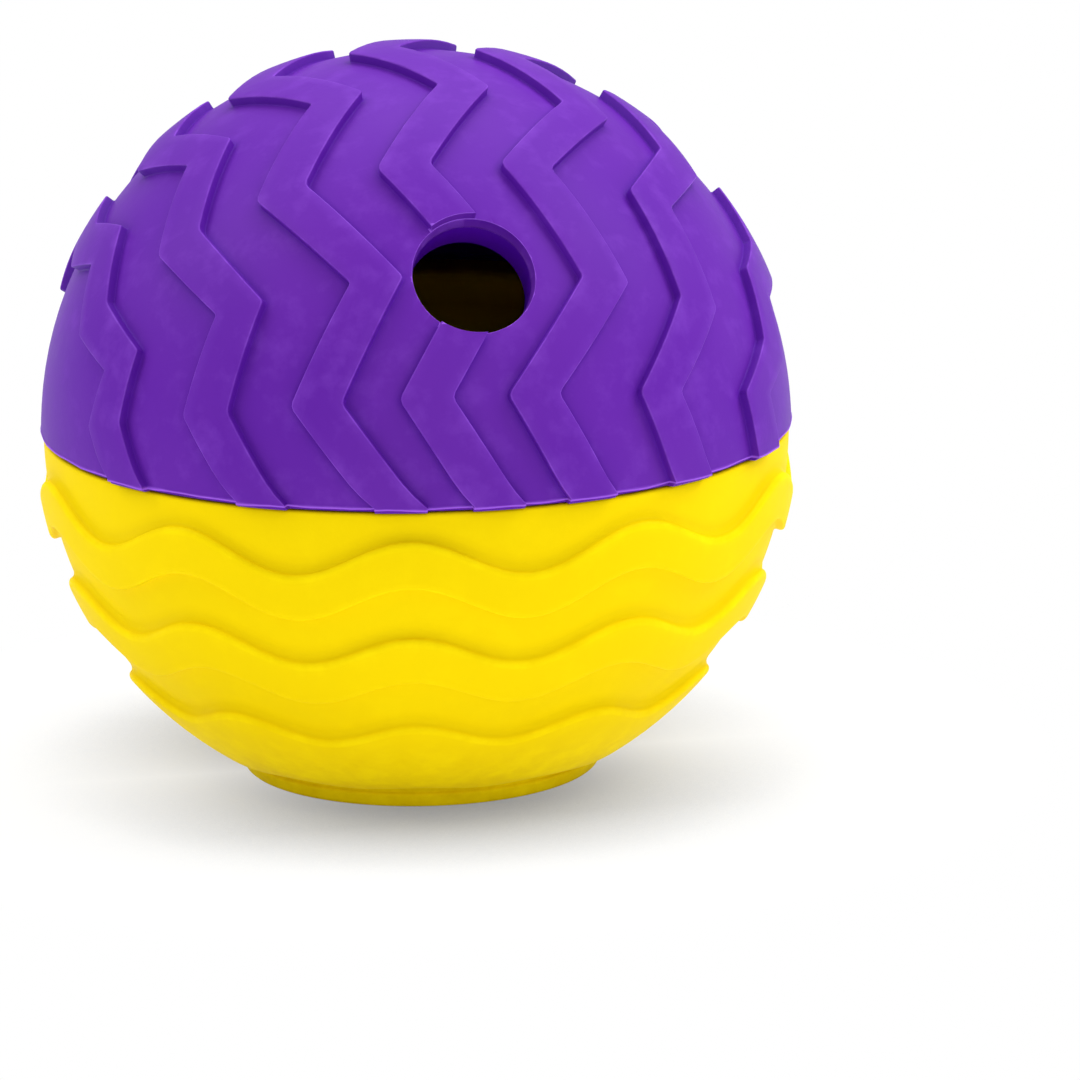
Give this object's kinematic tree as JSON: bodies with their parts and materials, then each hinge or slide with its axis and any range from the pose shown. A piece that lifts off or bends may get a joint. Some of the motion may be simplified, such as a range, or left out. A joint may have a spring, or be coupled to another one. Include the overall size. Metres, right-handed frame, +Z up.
{
  "type": "treat dispensing ball",
  "caption": "Hollow rubber ball for pets that twists open to be filled, with a zigzag tread above, wavy bands and a flat foot below, and a round hole that drops treats as it rolls.",
  "frame": {"origin": "centre of the flat foot that the ball rests on", "axes": "+Z up along the ball's axis, through the joint between the halves; the treat hole faces -Y"},
  "size_m": [0.0954, 0.0964, 0.0917],
  "materials": {
    "purple_rubber": "satin moulded rubber",
    "yellow_rubber": "satin moulded rubber"
  },
  "bodies": {
    "lower": {"lower_half": "yellow_rubber"},
    "upper": {"upper_half": "purple_rubber"}
  },
  "joints": [
    {"name": "lift_off", "type": "slide", "parent": "lower", "child": "upper", "axis": [0, 0, 1], "range_m": [0, 0.055]}
  ]
}
